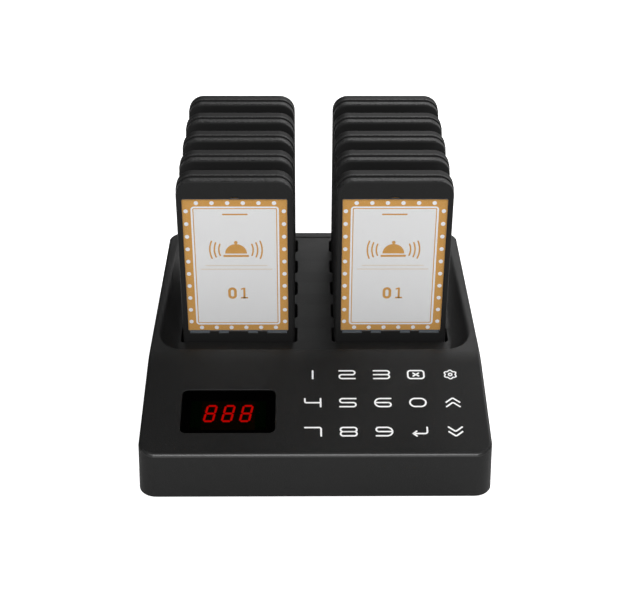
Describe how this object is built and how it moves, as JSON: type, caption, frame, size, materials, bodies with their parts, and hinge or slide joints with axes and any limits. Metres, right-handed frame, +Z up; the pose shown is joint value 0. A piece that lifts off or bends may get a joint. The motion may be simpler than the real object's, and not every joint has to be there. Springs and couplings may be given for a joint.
{
  "type": "guest pager system",
  "caption": "Desk transmitter and charging base with a sloped key deck, a lit digit display and two columns of slab pagers standing in charging pockets.",
  "frame": {"origin": "on the table under the middle of the whole set's box, feet at z = 0", "axes": "+Z up, the keys and the signs face -Y, +X is to the right as seen from the front"},
  "size_m": [0.1752, 0.2064, 0.1332],
  "materials": {
    "housing": "fine matte texture, moulded",
    "plate": "plain moulded",
    "screw": "zinc plated",
    "foot": "soft rubber",
    "lens": "smoked clear acrylic, polished",
    "display_face": "dark display face",
    "segment": "lit red",
    "board": "solder mask",
    "foam": "conductive foam",
    "contact": "gold plated",
    "component": "moulded packages",
    "shield": "tinned can",
    "socket": "black nylon",
    "rocker": "black nylon",
    "cable": "flat flexible cable",
    "pager_shell": "fine matte texture, moulded",
    "sign": "printed card under a clear window",
    "works": "cell, board, motor and lamps"
  },
  "bodies": {
    "base": {"top_housing": "housing", "base_plate": "plate", "housing_screws": "screw", "rubber_feet": "foot", "display_window": "lens", "display_module": "display_face", "display_segments": "segment", "panel_board": "board", "touch_pads": "foam", "charge_boards": "board", "contact_pins": "contact", "board_screws": "screw", "main_board": "board", "board_parts": "component", "radio_module": "shield", "buzzer": "component", "power_inlet": "socket", "switch_housing": "socket", "flat_cable": "cable"},
    "rocker": {"switch_rocker": "rocker"},
    "pager_l1": {"pager_l1_rear_shell": "pager_shell", "pager_l1_front_shell": "pager_shell", "pager_l1_sign": "sign", "pager_l1_works": "works"},
    "pager_l2": {"pager_l2_rear_shell": "pager_shell", "pager_l2_front_shell": "pager_shell", "pager_l2_sign": "sign", "pager_l2_works": "works"},
    "pager_l3": {"pager_l3_rear_shell": "pager_shell", "pager_l3_front_shell": "pager_shell", "pager_l3_sign": "sign", "pager_l3_works": "works"},
    "pager_l4": {"pager_l4_rear_shell": "pager_shell", "pager_l4_front_shell": "pager_shell", "pager_l4_sign": "sign", "pager_l4_works": "works"},
    "pager_l5": {"pager_l5_rear_shell": "pager_shell", "pager_l5_front_shell": "pager_shell", "pager_l5_sign": "sign", "pager_l5_works": "works"},
    "pager_r1": {"pager_r1_rear_shell": "pager_shell", "pager_r1_front_shell": "pager_shell", "pager_r1_sign": "sign", "pager_r1_works": "works"},
    "pager_r2": {"pager_r2_rear_shell": "pager_shell", "pager_r2_front_shell": "pager_shell", "pager_r2_sign": "sign", "pager_r2_works": "works"},
    "pager_r3": {"pager_r3_rear_shell": "pager_shell", "pager_r3_front_shell": "pager_shell", "pager_r3_sign": "sign", "pager_r3_works": "works"},
    "pager_r4": {"pager_r4_rear_shell": "pager_shell", "pager_r4_front_shell": "pager_shell", "pager_r4_sign": "sign", "pager_r4_works": "works"},
    "pager_r5": {"pager_r5_rear_shell": "pager_shell", "pager_r5_front_shell": "pager_shell", "pager_r5_sign": "sign", "pager_r5_works": "works"}
  },
  "joints": [
    {"name": "pager_l1_lift", "type": "slide", "parent": "base", "child": "pager_l1", "axis": [0, 0, 1], "range_m": [0, 0.11]},
    {"name": "pager_l2_lift", "type": "slide", "parent": "base", "child": "pager_l2", "axis": [0, 0, 1], "range_m": [0, 0.11]},
    {"name": "pager_l3_lift", "type": "slide", "parent": "base", "child": "pager_l3", "axis": [0, 0, 1], "range_m": [0, 0.11]},
    {"name": "pager_l4_lift", "type": "slide", "parent": "base", "child": "pager_l4", "axis": [0, 0, 1], "range_m": [0, 0.11]},
    {"name": "pager_l5_lift", "type": "slide", "parent": "base", "child": "pager_l5", "axis": [0, 0, 1], "range_m": [0, 0.11]},
    {"name": "pager_r1_lift", "type": "slide", "parent": "base", "child": "pager_r1", "axis": [0, 0, 1], "range_m": [0, 0.11]},
    {"name": "pager_r2_lift", "type": "slide", "parent": "base", "child": "pager_r2", "axis": [0, 0, 1], "range_m": [0, 0.11]},
    {"name": "pager_r3_lift", "type": "slide", "parent": "base", "child": "pager_r3", "axis": [0, 0, 1], "range_m": [0, 0.11]},
    {"name": "pager_r4_lift", "type": "slide", "parent": "base", "child": "pager_r4", "axis": [0, 0, 1], "range_m": [0, 0.11]},
    {"name": "pager_r5_lift", "type": "slide", "parent": "base", "child": "pager_r5", "axis": [0, 0, 1], "range_m": [0, 0.11]},
    {"name": "rocker_tilt", "type": "hinge", "parent": "base", "child": "rocker", "pos_m": [0.018, 0.09873, 0.01454], "axis": [0, -0.0349, 0.9994], "range_deg": [-18, 0]}
  ]
}
